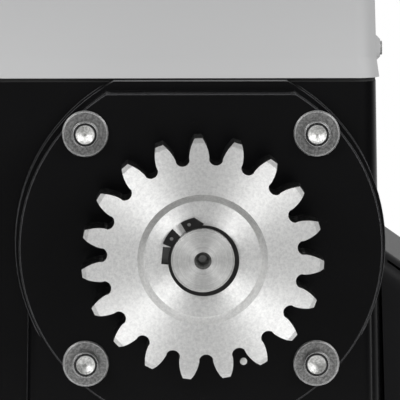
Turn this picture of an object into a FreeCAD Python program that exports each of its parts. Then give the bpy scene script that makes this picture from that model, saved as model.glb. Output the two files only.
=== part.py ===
import FreeCAD, Part
import math
import os

# Sliding gate motor: a geared motor whose output pinion drives the rack on a gate.
# Millimetres. X runs to the right when the pinion is faced, Y from the pinion side to
# the release side, Z is up. The origin lies on the underside of the base, at the
# centre of its four foot slots.

# ---- driving dimensions: rack drive ------------------------------------------------------
MODULE = 4.0                # of the rack and the pinion
PINION_TEETH = 19
PINION_FACE = 20.0
PRESSURE_ANGLE = math.radians(20.0)
ROOT_DEPTH = 1.25           # below the pitch line, in modules
ROOT_FILLET = 0.4           # height of the tooth's foot curve, in modules
TOOTH_PHASE = 91.95         # degrees, a tooth's place about the shaft, from +X towards +Z
KEY_PHASE = 174.7           # degrees, the key's place about the shaft
HUB_RECESS_R = 20.2         # floor of the dished recess in the pinion's outer face
HUB_RECESS_DEPTH = 2.4
TIP_CHAMFER = 1.5

# ---- driving dimensions: body ------------------------------------------------------------
BODY_W = 180.6              # at the rim, along X
BODY_D = 157.0              # at the rim, along Y
BODY_CORNER_R = 7.0
DRAFT = math.radians(0.95)
DECK_OVER_WHEEL = 4.0       # metal between the wheel's chamber and the motor bay
RIM_OVER_DECK = 2.5
BASE_T = 12.0
BASE_W = 238.0
BASE_D = 136.0
BASE_Y = 6.0                # middle of the foot plate
BASE_CORNER_R = 10.0
SLOT_DX = 208.0
SLOT_DY = 90.0
SLOT_W = 9.0
SLOT_LENGTH = 20.0
PEDESTAL_HALF_W = 61.0      # of the block under the drum, at its top
PEDESTAL_EDGE_R = 4.5
PEDESTAL_BELOW_SHAFT = 20.0
TONGUE_INSET = 3.9          # ridge round the bay that locates the cover
TONGUE_T = 2.6
TONGUE_H = 5.5
TAB_HALF_W = 10.0           # upright tabs that the cover's screws enter
TAB_H = 14.0
RELEASE_BORE_R = 16.0

# ---- driving dimensions: output shaft and its flange -------------------------------------
SHAFT_X = 27.5
SHAFT_Z = 90.0
SHAFT_R = 11.0
SHAFT_PROUD = 3.0           # shaft end beyond the pinion
SHAFT_CHAMFER = 0.8
JOURNAL_STEP = 1.5          # the shaft grows towards its middle
WHEEL_SEAT_STEP = 4.0
COLLAR_STEP = 8.0
DRUM_R = 65.6
DRUM_PROUD = 9.5            # of the drum's face beyond the body's wall
DRUM_OVER_RIM = 1.0
FLANGE_R = 64.1
FLANGE_T = 12.0
FLANGE_FLAT = 54.8          # height of the flange's flat top above the shaft
FLANGE_CHAMFER = 0.45
FLANGE_BOLT_SPACING = 81.3
DOWEL_PLACE = (15.0, -39.4)  # from the shaft's axis
DOWEL_R = 1.3
PINION_GAP = 14.0           # flange face to pinion
KEY_W = 6.0
KEY_H = 6.0
KEY_SHY = 3.0               # from the recess's floor back to the shaft's key seat
KEY_SLOT_REACH = 3.1        # of the pinion's slot beyond the shaft
GROOVE_DEPTH = 0.5
CIRCLIP_T = 1.2
CIRCLIP_W = 1.3             # its outline beyond the shaft
CIRCLIP_OFF = (0.35, -0.5)  # its outline is thickest opposite its opening
CIRCLIP_OPEN = (121.1, 134.5)
LUG_W = 3.8                 # its lugs beyond the shaft
LUG_SPAN = (19.7, 23.9)     # degrees, of the lugs on either side of its opening
LUG_HOLE_R = 0.65
SEAL_R = 21.0
SEAL_T = 7.0
SEAL_INSET = 1.0
CENTRE_HOLE_R = 3.0
BEARING_R = 26.0
BEARING_W = 15.0
BEARING_RACE_T = 4.7

# ---- driving dimensions: flange screws ---------------------------------------------------
SCREW_R = 3.0
SCREW_HEAD_R = 4.7
SCREW_HEAD_H = 3.4
SCREW_HEX = 5.5             # across flats of its socket
SCREW_REACH = 18.0          # into the drum
WASHER_R = 8.1
WASHER_T = 1.6
WASHER_EDGE = 0.4

# ---- driving dimensions: worm drive and clutch -------------------------------------------
WORM_MODULE = 3.0
WHEEL_TEETH = 30
WORM_PITCH_R = 14.0
WORM_BACKLASH = 0.4
WORM_ROOT_DEPTH = 1.2       # below the pitch line, in modules
WORM_TURNS_BELOW = 2.25
WORM_TURNS_ABOVE = 2.0
HELIX_STEPS = 16            # facets in a turn of the worm and of the spring
WHEEL_FACE = 24.0
WHEEL_Y = -20.0             # middle of the wheel, where the worm crosses it
HUB_R = 27.0
HUB_FLANGE = 6.0            # of the hub, which carries the wheel's rim
HUB_BEHIND = 14.0           # of the hub's faces from the wheel's middle
SLEEVE_R = 23.0
SLEEVE_W = 13.0
DOGS = 4
DOG_LENGTH = 4.5
DOG_W = 8.0
CLUTCH_PIN_R = 3.0
ROD_R = 4.0
ROD_HEAD_R = 9.0
SPRING_TURNS = 2.6
SPRING_WIRE = 1.8
LOWER_BEARING = (7.5, 17.5, 11.0)       # shaft radius, outer radius, width
UPPER_BEARING = (8.5, 20.0, 12.0)
LOWER_BEARING_DROP = 64.0   # below the output shaft's axis
UPPER_BEARING_RISE = 32.0   # above it

# ---- driving dimensions: motor -----------------------------------------------------------
MOTOR_HALF = 47.0
MOTOR_CORNER_R = 16.0
MOTOR_BASE_H = 21.5
STATOR_H = 60.0
ROTOR_R = 27.5
ROTOR_GAP = 0.6
ROTOR_SHY = 2.0             # of the stator's ends
MOTOR_SKIN = 7.0
ROTOR_SHAFT_R = 9.5
COIL_OUT_R = 40.0
COIL_IN_R = 29.5
COIL_H = 13.0
BELL_H = 25.0
TIE_PLACE = 38.0
TIE_R = 2.0
TIE_REACH = 12.0            # into the motor's base
FAN_R = 36.0
FAN_HUB_R = 12.0
FAN_H = 10.0
FAN_BLADES = 8
FAN_BLADE_T = 1.6

# ---- driving dimensions: cover -----------------------------------------------------------
HEADROOM = 23.0             # over the motor's shaft
COVER_WALL = 3.0
COVER_DRAFT = math.radians(1.6)
COVER_PROUD = 0.4           # beyond the body's wall
COVER_LIP = 1.0             # flare of the cover's lower edge
COVER_LIP_H = 7.0
COVER_EDGE_R = 7.0
PANEL_INSET = 24.0          # raised panel on the roof
PANEL_H = 2.0
PANEL_CORNER_R = 10.0
GASKET_T = 1.4
GASKET_W = 3.2
COVER_SCREW_RISE = 8.5      # above the cover's lower edge
COVER_SCREW_Y = 50.0
COVER_BOSS_R = 4.0
COVER_BOSS_PROUD = 2.4
COVER_SCREW_R = 2.0
COVER_SCREW_REACH = 10.0

# ---- driving dimensions: manual release --------------------------------------------------
RELEASE_THROW = 6.0         # travel of the clutch sleeve
KNOB_FLANGE_R = 28.5
BOSS_R = 36.0
BOSS_H = 7.0
BEZEL_H = 5.5
GRIP_HALF_LENGTH = 25.0
GRIP_W = 20.0
GRIP_H = 18.0
GRIP_EDGE_R = 2.0
LOCK_R = 8.0
LOCK_DEPTH = 14.0
CAP_T = 2.2
CAP_PIVOT = 17.0            # from the lock's axis
CAP_PIN_R = 2.0
CAP_PIN_L = 6.0
PUSHER_R = 12.0
PUSHER_L = 12.0

# ---- driving dimensions: side covers -----------------------------------------------------
SIDE_TOP_Z = 84.0
SIDE_OUT = 28.0             # reach beyond the body's wall
SIDE_WALL = 2.5
SIDE_Y0 = -60.0
SIDE_Y1 = 71.0
SIDE_SLOPE = math.radians(35.0)
SIDE_SHOULDER_R = 11.0
SIDE_EDGE_R = 9.0
SIDE_GROOVE = 2.6           # step between wall and cover at the foot, none at the top
SIDE_GROOVE_DEPTH = 10.0

# ---- driving dimensions: cable way and electronics ---------------------------------------
DUCT_W = 28.0
DUCT_FROM_SIDE = 18.3       # from the body's left wall
DUCT_FROM_BACK = 8.5        # from its release side
DUCT_BELOW_DECK = 12.5
DUCT_CORNER_R = 5.0
CABLE_HOLE_R = 11.0
CABLE_R = 6.0
OIL_PLUG_R = 8.0
OIL_PLUG_H = 6.0
BRACKET_FROM_BACK = 34.5
BRACKET_T = 1.5
BOARD_H = 92.0
BOARD_RISE = 21.5           # above the deck
BOARD_INSET = (28.3, 20.3)  # from the body's left and right walls
BOARD_STANDOFF = 4.0
BOARD_T = 1.6
TERMINAL_PITCH = 5.0
BUTTON_R = 1.75
DIAL_R = 3.0
LEG_W = 16.0
LEG_H = 14.0
TRANSFORMER = (46.0, 40.0, 40.0)        # along X, Y and Z
TRANSFORMER_INSET = (10.3, 22.5)        # from the right and pinion-side walls
CORE_LEG = 8.0
CAPACITOR_R = 17.5
CAPACITOR_H = 70.0

# ---- clearances --------------------------------------------------------------------------
RUN_FIT = 0.05              # radial, shaft in a bore
EASE = 0.3                  # between parts that pass each other
GAP = 0.5                   # between parts that are only neighbours
OVERCUT = 1.0               # how far a cutting shape runs past the metal

# ---- sizes that follow -------------------------------------------------------------------
BODY_BACK_Y = -BODY_D / 2
BODY_FRONT_Y = BODY_D / 2
DRUM_FACE_Y = BODY_BACK_Y - DRUM_PROUD
FLANGE_Y = DRUM_FACE_Y - FLANGE_T
PINION_BACK_Y = FLANGE_Y - PINION_GAP
PINION_Y = PINION_BACK_Y - PINION_FACE
RECESS_Y = PINION_Y + HUB_RECESS_DEPTH
SHAFT_END_Y = PINION_Y - SHAFT_PROUD
KEY_Y = RECESS_Y + KEY_SHY
PITCH_R = MODULE * PINION_TEETH / 2
JOURNAL_R = SHAFT_R + JOURNAL_STEP
WHEEL_SEAT_R = SHAFT_R + WHEEL_SEAT_STEP
COLLAR_R = SHAFT_R + COLLAR_STEP
BEARING_INNER_R = JOURNAL_R + BEARING_RACE_T
CIRCLIP_R = SHAFT_R + CIRCLIP_W
LUG_R = SHAFT_R + LUG_W
WHEEL_PITCH_R = WORM_MODULE * WHEEL_TEETH / 2
WHEEL_CHAMBER_R = WHEEL_PITCH_R + WORM_MODULE + 2.5
WORM_X = SHAFT_X - WHEEL_PITCH_R - WORM_PITCH_R
WORM_Y = WHEEL_Y
WORM_ROOT_R = WORM_PITCH_R - WORM_ROOT_DEPTH * WORM_MODULE
WORM_TIP_R = WORM_PITCH_R + WORM_MODULE
TUNNEL_R = WORM_TIP_R + 1.5
LEAD = math.pi * WORM_MODULE
HUB_Y0 = WHEEL_Y - HUB_BEHIND
HUB_Y1 = WHEEL_Y + HUB_BEHIND
SLEEVE_Y1 = HUB_Y0 - 2.0
SLEEVE_Y0 = SLEEVE_Y1 - SLEEVE_W
CLUTCH_PIN_Y = SLEEVE_Y0 + RELEASE_THROW
REAR_BEARING_Y = DRUM_FACE_Y + 9.0
FRONT_BEARING_Y = WHEEL_Y + WHEEL_FACE / 2 + 4.0
SHAFT_FRONT_Y = FRONT_BEARING_Y + BEARING_W + 1.0
SPRING_Y = REAR_BEARING_Y + BEARING_W
DECK_Z = SHAFT_Z + WHEEL_CHAMBER_R + DECK_OVER_WHEEL
RIM_Z = DECK_Z + RIM_OVER_DECK
LOWER_BEARING_Z = SHAFT_Z - LOWER_BEARING_DROP
UPPER_BEARING_Z = SHAFT_Z + UPPER_BEARING_RISE
STATOR_Z = DECK_Z + MOTOR_BASE_H
STATOR_TOP_Z = STATOR_Z + STATOR_H
TOP_BEARING_Z = STATOR_TOP_Z + 11.0
MOTOR_TOP_Z = STATOR_TOP_Z + BELL_H
SHAFT_TOP_Z = MOTOR_TOP_Z + 11.0
COVER_Z = RIM_Z + GASKET_T
COVER_TOP_Z = SHAFT_TOP_Z + HEADROOM
COVER_SCREW_Z = COVER_Z + COVER_SCREW_RISE
BOSS_Y = BODY_FRONT_Y + BOSS_H
GRIP_Y = BOSS_Y + GRIP_H
HUB_END_Y = BODY_FRONT_Y - 42.5
ROD_END_Y = HUB_END_Y - PUSHER_L
CAP_PIVOT_X = SHAFT_X + CAP_PIVOT
DUCT_X = -BODY_W / 2 + DUCT_FROM_SIDE + DUCT_W / 2
DUCT_Y = BODY_FRONT_Y - DUCT_FROM_BACK - DUCT_W / 2
DUCT_TOP_Z = DECK_Z - DUCT_BELOW_DECK
BRACKET_Y = BODY_FRONT_Y - BRACKET_FROM_BACK
BOARD_X = (-BODY_W / 2 + BOARD_INSET[0], BODY_W / 2 - BOARD_INSET[1])
BOARD_Z = (DECK_Z + BOARD_RISE, DECK_Z + BOARD_RISE + BOARD_H)
BOARD_Y = BRACKET_Y + BRACKET_T + BOARD_STANDOFF
PARTS_Y = BOARD_Y + BOARD_T
BUTTON_PLACE = (BOARD_X[1] - 32.0, BOARD_Z[0] + 70.0)
DIAL_PLACE = (BOARD_X[1] - 16.0, BOARD_Z[0] + 70.0)


# ---- small tools -------------------------------------------------------------------------
def vec(x, y, z):
    return FreeCAD.Vector(x, y, z)


def cyl_y(r, y0, y1, x=SHAFT_X, z=SHAFT_Z):
    return Part.makeCylinder(r, y1 - y0, vec(x, y0, z), vec(0, 1, 0))


def cyl_z(r, z0, z1, x=WORM_X, y=WORM_Y):
    return Part.makeCylinder(r, z1 - z0, vec(x, y, z0))


def cyl_x(r, x0, x1, y, z):
    return Part.makeCylinder(r, x1 - x0, vec(x0, y, z), vec(1, 0, 0))


def block(x0, x1, y0, y1, z0, z1):
    return Part.makeBox(x1 - x0, y1 - y0, z1 - z0, vec(x0, y0, z0))


def rounded_wire(half_x, half_y, r, z, x=0.0, y=0.0):
    """A rectangle with round corners, at height z."""
    arcs = []
    k = r * math.sqrt(0.5)
    for sx, sy in ((1, 1), (-1, 1), (-1, -1), (1, -1)):
        cx = x + sx * (half_x - r)
        cy = y + sy * (half_y - r)
        on_x = vec(cx + sx * r, cy, z)
        on_y = vec(cx, cy + sy * r, z)
        middle = vec(cx + sx * k, cy + sy * k, z)
        ends = (on_x, on_y) if sx == sy else (on_y, on_x)
        arcs.append(Part.Arc(ends[0], middle, ends[1]).toShape())
    edges = []
    for arc, following in zip(arcs, arcs[1:] + arcs[:1]):
        side = Part.makeLine(arc.Vertexes[-1].Point, following.Vertexes[0].Point)
        edges += [arc, side]
    return Part.Wire(edges)


def rounded_block(x0, x1, y0, y1, z0, z1, r):
    wire = rounded_wire((x1 - x0) / 2, (y1 - y0) / 2, r, z0, (x0 + x1) / 2, (y0 + y1) / 2)
    return Part.Face(wire).extrude(vec(0, 0, z1 - z0))


def tapered_block(half_x, half_y, r, z0, z1, draft, z_ref):
    """A block with round upright edges whose walls lean in upwards; its half sizes are
    those at z_ref."""
    rings = []
    for z in (z0, z1):
        grow = (z_ref - z) * math.tan(draft)
        x, y = half_x + grow, half_y + grow
        rings.append([vec(x, y, z), vec(-x, y, z), vec(-x, -y, z), vec(x, -y, z)])
    low, high = rings
    outlines = [low[::-1], high]
    outlines += [[low[i - 1], low[i], high[i], high[i - 1]] for i in range(4)]
    faces = [Part.Face(Part.makePolygon(points + points[:1])) for points in outlines]
    solid = Part.Solid(Part.makeShell(faces))
    uprights = [e for e in solid.Edges if abs(e.Vertexes[0].Z - e.Vertexes[-1].Z) > 1e-6]
    return solid.makeFillet(r, uprights)


def prism_y(points, y0, y1):
    """The outline, a list of (x, z), carried from y0 to y1."""
    wire = Part.makePolygon([vec(x, y0, z) for x, z in points + points[:1]])
    return Part.Face(wire).extrude(vec(0, y1 - y0, 0))


def prism_x(points, x0, x1):
    """The outline, a list of (y, z), carried from x0 to x1."""
    wire = Part.makePolygon([vec(x0, y, z) for y, z in points + points[:1]])
    return Part.Face(wire).extrude(vec(x1 - x0, 0, 0))


def lathe_y(points, x=SHAFT_X, z=SHAFT_Z):
    """A solid turned about a line along Y; points are (radius, y)."""
    wire = Part.makePolygon([vec(x + r, y, z) for r, y in points + points[:1]])
    return Part.Face(wire).revolve(vec(x, 0, z), vec(0, 1, 0), 360)


def lathe_z(points, x=WORM_X, y=WORM_Y):
    """A solid turned about a vertical line; points are (radius, z)."""
    wire = Part.makePolygon([vec(x + r, y, z) for r, z in points + points[:1]])
    return Part.Face(wire).revolve(vec(x, y, 0), vec(0, 0, 1), 360)


def ring_y(r_out, r_in, y0, y1):
    return cyl_y(r_out, y0, y1).cut(cyl_y(r_in, y0 - OVERCUT, y1 + OVERCUT))


def ring_z(r_out, r_in, z0, z1, x=WORM_X, y=WORM_Y):
    return cyl_z(r_out, z0, z1, x, y).cut(cyl_z(r_in, z0 - OVERCUT, z1 + OVERCUT, x, y))


def hex_y(across, y0, y1, x, z):
    r = across / math.sqrt(3)
    corners = [(x + r * math.cos(i * math.pi / 3), z + r * math.sin(i * math.pi / 3)) for i in range(6)]
    return prism_y(corners, y0, y1)


def on_shaft(radius, degrees, y):
    """A point at a radius and angle about the output shaft, from +X towards +Z."""
    a = math.radians(degrees)
    return vec(SHAFT_X + radius * math.cos(a), y, SHAFT_Z + radius * math.sin(a))


def turned(shape, degrees):
    """The shape turned about the output shaft, from +X towards +Z."""
    copy = shape.copy()
    copy.rotate(vec(SHAFT_X, 0, SHAFT_Z), vec(0, -1, 0), degrees)
    return copy


def cut_all(shape, tools):
    for tool in tools:
        shape = shape.cut(tool)
    return shape


def fuse(first, *others):
    return first.multiFuse(list(others)).removeSplitter()


def save(node, *solids):
    shape = solids[0] if len(solids) == 1 else Part.makeCompound(list(solids))
    shape.exportStep("parts/" + node + ".step")
    print(node, len(shape.Solids), round(shape.Volume), shape.isValid())


# ---- gears -------------------------------------------------------------------------------
def involute_point(base_r, radius, half_base_angle, side, centre_angle, y):
    """A point of an involute flank, at a radius; side is -1 or 1."""
    pressure = math.acos(min(1.0, base_r / radius))
    angle = centre_angle + side * (half_base_angle - (math.tan(pressure) - pressure))
    return vec(SHAFT_X + radius * math.cos(angle), y, SHAFT_Z + radius * math.sin(angle))


def gear_wire(module, teeth, phase, y, backlash, root_depth):
    """The outline of an involute gear about the output shaft, in a plane of constant Y."""
    pitch_r = module * teeth / 2
    base_r = pitch_r * math.cos(PRESSURE_ANGLE)
    tip_r = pitch_r + module
    root_r = pitch_r - root_depth * module
    fillet_r = root_r + ROOT_FILLET * module
    flank_r = max(fillet_r, base_r)
    middle_r = (flank_r + tip_r) / 2
    half_tooth = (math.pi / 2 - backlash / module) / teeth
    half_base = half_tooth + math.tan(PRESSURE_ANGLE) - PRESSURE_ANGLE

    def at(radius, angle):
        return vec(SHAFT_X + radius * math.cos(angle), y, SHAFT_Z + radius * math.sin(angle))

    edges = []
    for i in range(teeth):
        centre = phase + 2 * math.pi * i / teeth
        following = centre + 2 * math.pi / teeth
        right = [involute_point(base_r, r, half_base, -1, centre, y) for r in (flank_r, middle_r, tip_r)]
        left = [involute_point(base_r, r, half_base, 1, centre, y) for r in (tip_r, middle_r, flank_r)]
        foot = left[2]
        next_foot = involute_point(base_r, flank_r, half_base, -1, following, y)
        if fillet_r < base_r:
            edges.append(Part.makeLine(at(fillet_r, centre - half_base), right[0]))
        edges.append(Part.Arc(*right).toShape())
        edges.append(Part.Arc(right[2], at(tip_r, centre), left[0]).toShape())
        edges.append(Part.Arc(*left).toShape())
        if fillet_r < base_r:
            foot = at(fillet_r, centre + half_base)
            next_foot = at(fillet_r, following - half_base)
            edges.append(Part.makeLine(left[2], foot))
        edges.append(Part.Arc(foot, at(root_r, (centre + following) / 2), next_foot).toShape())
    return Part.Wire(edges)


def helix(outline, place, lead, first_turn, last_turn):
    """An outline of (radius, distance along the axis) carried along a helix of straight facets;
    place gives the point for a radius, an angle and a distance along the axis."""
    wires = []
    for i in range(round((last_turn - first_turn) * HELIX_STEPS) + 1):
        turn = first_turn + i / HELIX_STEPS
        points = [place(r, 2 * math.pi * turn, lead * turn + d) for r, d in outline]
        wires.append(Part.makePolygon(points + points[:1]))
    return Part.makeLoft(wires, True, True)


# ---- rack pinion and output shaft --------------------------------------------------------
def key_block(inner_r, outer_r, y0, y1):
    """A block as wide as the key, between two distances from the shaft's axis."""
    key = block(SHAFT_X + inner_r, SHAFT_X + outer_r, y0, y1, SHAFT_Z - KEY_W / 2, SHAFT_Z + KEY_W / 2)
    return turned(key, KEY_PHASE)


def make_pinion():
    tip_r = PITCH_R + MODULE
    outline = gear_wire(MODULE, PINION_TEETH, math.radians(TOOTH_PHASE), PINION_Y, 0.0, ROOT_DEPTH)
    gear = Part.Face(outline).extrude(vec(0, PINION_FACE, 0))
    blank = lathe_y([
        (SHAFT_R, RECESS_Y), (HUB_RECESS_R, RECESS_Y), (HUB_RECESS_R + HUB_RECESS_DEPTH, PINION_Y),
        (tip_r - TIP_CHAMFER, PINION_Y), (tip_r, PINION_Y + TIP_CHAMFER),
        (tip_r, PINION_BACK_Y - TIP_CHAMFER), (tip_r - TIP_CHAMFER, PINION_BACK_Y), (SHAFT_R, PINION_BACK_Y),
    ])
    slot = key_block(0, SHAFT_R + KEY_SLOT_REACH, PINION_Y - OVERCUT, PINION_BACK_Y + OVERCUT)
    save("pinion", gear.common(blank).cut(slot))


def sector(radius, start, end, y0, y1):
    """A slice of a disc about the output shaft, between two angles in degrees."""
    centre = on_shaft(0, 0, y0)
    arc = [on_shaft(radius, a, y0) for a in (start, (start + end) / 2, end)]
    edges = [Part.makeLine(centre, arc[0]), Part.Arc(*arc).toShape(), Part.makeLine(arc[2], centre)]
    return Part.Face(Part.Wire(edges)).extrude(vec(0, y1 - y0, 0))


def make_circlip():
    y0 = RECESS_Y - CIRCLIP_T
    start, end = CIRCLIP_OPEN
    ring = cyl_y(CIRCLIP_R, y0, RECESS_Y, SHAFT_X + CIRCLIP_OFF[0], SHAFT_Z + CIRCLIP_OFF[1])
    lugs = [sector(LUG_R, start - LUG_SPAN[0], start, y0, RECESS_Y),
            sector(LUG_R, end, end + LUG_SPAN[1], y0, RECESS_Y)]
    slope = Part.makePolygon([on_shaft(r, a, y0) for r, a in (
        (SHAFT_R, start - LUG_SPAN[0]), (LUG_R, start - LUG_SPAN[0]),
        (CIRCLIP_R, start - 1.7 * LUG_SPAN[0]), (SHAFT_R, start - LUG_SPAN[0]))])
    lugs.append(Part.Face(slope).extrude(vec(0, CIRCLIP_T, 0)))
    ring = ring.multiFuse(lugs)
    opening = sector(2 * LUG_R, start, end, y0 - OVERCUT, RECESS_Y + OVERCUT)
    ring = cut_all(ring, [opening, cyl_y(SHAFT_R - GROOVE_DEPTH, y0 - OVERCUT, RECESS_Y + OVERCUT)])
    for angle in (start - LUG_SPAN[0] / 2, end + LUG_SPAN[1] / 2):
        centre = on_shaft((SHAFT_R + LUG_R) / 2, angle, y0)
        ring = ring.cut(cyl_y(LUG_HOLE_R, y0 - OVERCUT, RECESS_Y + OVERCUT, centre.x, centre.z))
    save("pinion_circlip", ring.removeSplitter())


def clutch_pin_slot():
    """The slot through the shaft in which the clutch's cross pin slides."""
    half = CLUTCH_PIN_R + RUN_FIT
    y0 = CLUTCH_PIN_Y - RELEASE_THROW
    x0, x1 = SHAFT_X - COLLAR_R, SHAFT_X + COLLAR_R
    slot = block(x0, x1, y0, CLUTCH_PIN_Y, SHAFT_Z - half, SHAFT_Z + half)
    return slot.multiFuse([cyl_x(half, x0, x1, y, SHAFT_Z) for y in (y0, CLUTCH_PIN_Y)])


def make_output_shaft():
    groove_r = SHAFT_R - GROOVE_DEPTH
    shaft = lathe_y([
        (0, SHAFT_END_Y), (SHAFT_R - SHAFT_CHAMFER, SHAFT_END_Y), (SHAFT_R, SHAFT_END_Y + SHAFT_CHAMFER),
        (SHAFT_R, RECESS_Y - CIRCLIP_T), (groove_r, RECESS_Y - CIRCLIP_T), (groove_r, RECESS_Y),
        (SHAFT_R, RECESS_Y), (SHAFT_R, REAR_BEARING_Y), (JOURNAL_R, REAR_BEARING_Y),
        (JOURNAL_R, SPRING_Y), (WHEEL_SEAT_R, SPRING_Y), (WHEEL_SEAT_R, HUB_Y1), (COLLAR_R, HUB_Y1),
        (COLLAR_R, FRONT_BEARING_Y), (JOURNAL_R, FRONT_BEARING_Y), (JOURNAL_R, SHAFT_FRONT_Y),
        (0, SHAFT_FRONT_Y),
    ])
    mouth_y = SHAFT_END_Y + CENTRE_HOLE_R / 3
    cone_y = mouth_y + CENTRE_HOLE_R
    centre_hole = lathe_y([
        (0, SHAFT_END_Y - OVERCUT), (CENTRE_HOLE_R, SHAFT_END_Y - OVERCUT), (CENTRE_HOLE_R, mouth_y),
        (CENTRE_HOLE_R / 2, cone_y), (CENTRE_HOLE_R / 2, cone_y + 5.0), (0, cone_y + 5.0),
    ])
    rod_bore = cyl_y(ROD_R + RUN_FIT, CLUTCH_PIN_Y - RELEASE_THROW - 2 * ROD_R, SHAFT_FRONT_Y + OVERCUT)
    key_seat = key_block(SHAFT_R - KEY_H / 2, SHAFT_R + KEY_H, KEY_Y, PINION_BACK_Y)
    save("output_shaft", cut_all(shaft, [centre_hole, rod_bore, clutch_pin_slot(), key_seat]))


def make_drive_key():
    save("drive_key", key_block(SHAFT_R - KEY_H / 2, SHAFT_R + KEY_H / 2 - 0.1, KEY_Y, PINION_BACK_Y))


def make_spacer():
    save("pinion_spacer", ring_y(WHEEL_SEAT_R, SHAFT_R, PINION_BACK_Y, REAR_BEARING_Y))


# ---- output flange -----------------------------------------------------------------------
def flange_bolt_places():
    half = FLANGE_BOLT_SPACING / 2
    return [(SHAFT_X + sx * half, SHAFT_Z + sz * half) for sx in (-1, 1) for sz in (-1, 1)]


def make_output_flange():
    y0, y1, c = FLANGE_Y, DRUM_FACE_Y, FLANGE_CHAMFER
    disc = lathe_y([(0, y0), (FLANGE_R - c, y0), (FLANGE_R, y0 + c), (FLANGE_R, y1), (0, y1)])
    top = SHAFT_Z + FLANGE_FLAT
    over = SHAFT_Z + FLANGE_R + OVERCUT
    flat = prism_x([(y0 - OVERCUT, top - c - OVERCUT), (y0 + c, top), (y1 + OVERCUT, top),
                    (y1 + OVERCUT, over), (y0 - OVERCUT, over)], SHAFT_X - FLANGE_R, SHAFT_X + FLANGE_R)
    spigot = cyl_y(WHEEL_CHAMBER_R - RUN_FIT, DRUM_FACE_Y, SPRING_Y)
    flange = fuse(disc.cut(flat), spigot)
    seal_y = FLANGE_Y + SEAL_INSET
    cuts = [cyl_y(BEARING_R, REAR_BEARING_Y, SPRING_Y + OVERCUT),
            cyl_y(WHEEL_SEAT_R + 2.0, FLANGE_Y - OVERCUT, REAR_BEARING_Y + OVERCUT),
            cyl_y(SEAL_R, seal_y, seal_y + SEAL_T),
            cyl_y(SEAL_R - 2.0, FLANGE_Y - OVERCUT, seal_y + OVERCUT)]
    cuts += [cyl_y(SCREW_R + EASE, FLANGE_Y - OVERCUT, DRUM_FACE_Y + OVERCUT, x, z)
             for x, z in flange_bolt_places()]
    save("output_flange", cut_all(flange, cuts))


def make_output_seal():
    y0 = FLANGE_Y + SEAL_INSET
    save("output_seal", ring_y(SEAL_R, WHEEL_SEAT_R + RUN_FIT, y0, y0 + SEAL_T))


def make_flange_dowel():
    x, z = SHAFT_X + DOWEL_PLACE[0], SHAFT_Z + DOWEL_PLACE[1]
    proud = DOWEL_R / 3
    dowel = lathe_y([(0, FLANGE_Y - proud), (DOWEL_R * 0.7, FLANGE_Y - proud),
                     (DOWEL_R, FLANGE_Y), (0, FLANGE_Y)], x, z)
    save("flange_dowel", dowel)


def make_flange_fasteners():
    washer_y = FLANGE_Y - WASHER_T
    head_y = washer_y - SCREW_HEAD_H
    edge = WASHER_EDGE
    floor_y = head_y + SCREW_HEAD_H / 2
    mouth_r = SCREW_HEX / math.sqrt(3)
    washers, screws = [], []
    for x, z in flange_bolt_places():
        bore = SCREW_R + EASE
        washers.append(lathe_y([(bore, washer_y), (WASHER_R - edge, washer_y), (WASHER_R, washer_y + edge),
                                (WASHER_R, FLANGE_Y), (bore, FLANGE_Y)], x, z))
        screw = lathe_y([(0, head_y), (SCREW_HEAD_R - edge, head_y), (SCREW_HEAD_R, head_y + edge),
                         (SCREW_HEAD_R, washer_y), (SCREW_R, washer_y),
                         (SCREW_R, DRUM_FACE_Y + SCREW_REACH - 2.0), (0, DRUM_FACE_Y + SCREW_REACH - 2.0)], x, z)
        mouth = lathe_y([(0, head_y - edge), (mouth_r + edge, head_y - edge), (mouth_r - edge, head_y + edge),
                         (0, head_y + edge)], x, z)
        point = lathe_y([(0, head_y), (SCREW_HEX / 2, head_y), (SCREW_HEX / 2, floor_y),
                         (0, floor_y + SCREW_HEX / 4)], x, z)
        screws.append(cut_all(screw, [hex_y(SCREW_HEX, head_y - OVERCUT, floor_y, x, z), mouth, point]))
    save("flange_washers", *washers)
    save("flange_screws", *screws)


# ---- bearings ----------------------------------------------------------------------------
def make_output_bearings():
    for name, y in (("rear", REAR_BEARING_Y), ("front", FRONT_BEARING_Y)):
        save("output_bearing_" + name, ring_y(BEARING_R, BEARING_INNER_R + EASE, y, y + BEARING_W))
        save("output_bearing_" + name + "_race", ring_y(BEARING_INNER_R, JOURNAL_R, y, y + BEARING_W))


# ---- worm wheel and clutch ---------------------------------------------------------------
def make_worm_wheel():
    twist = LEAD / (2 * math.pi * WORM_PITCH_R * WHEEL_PITCH_R)
    half = WHEEL_FACE / 2
    wires = []
    for y in (-half, half):
        phase = math.pi + math.pi / WHEEL_TEETH - y * twist
        wires.append(gear_wire(WORM_MODULE, WHEEL_TEETH, phase, WHEEL_Y + y, WORM_BACKLASH / 2, WORM_ROOT_DEPTH))
    rim = Part.makeLoft(wires, True, True)
    bore = cyl_y(HUB_R + HUB_FLANGE, WHEEL_Y - half - OVERCUT, WHEEL_Y + half + OVERCUT)
    save("worm_wheel", rim.cut(bore))


def make_wheel_hub():
    web = WHEEL_FACE / 3
    bore = WHEEL_SEAT_R + RUN_FIT
    rim = HUB_R + HUB_FLANGE
    hub = lathe_y([(bore, HUB_Y0), (HUB_R, HUB_Y0), (HUB_R, WHEEL_Y - web), (rim, WHEEL_Y - web),
                   (rim, WHEEL_Y + web), (HUB_R, WHEEL_Y + web), (HUB_R, HUB_Y1), (bore, HUB_Y1)])
    half = DOG_W / 2 + EASE
    slot = block(SHAFT_X + WHEEL_SEAT_R - OVERCUT, SHAFT_X + HUB_R + OVERCUT, HUB_Y0 - OVERCUT,
                 SLEEVE_Y1 + DOG_LENGTH + OVERCUT, SHAFT_Z - half, SHAFT_Z + half)
    save("wheel_hub", cut_all(hub, [turned(slot, 360 * i / DOGS) for i in range(DOGS)]))


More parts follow.
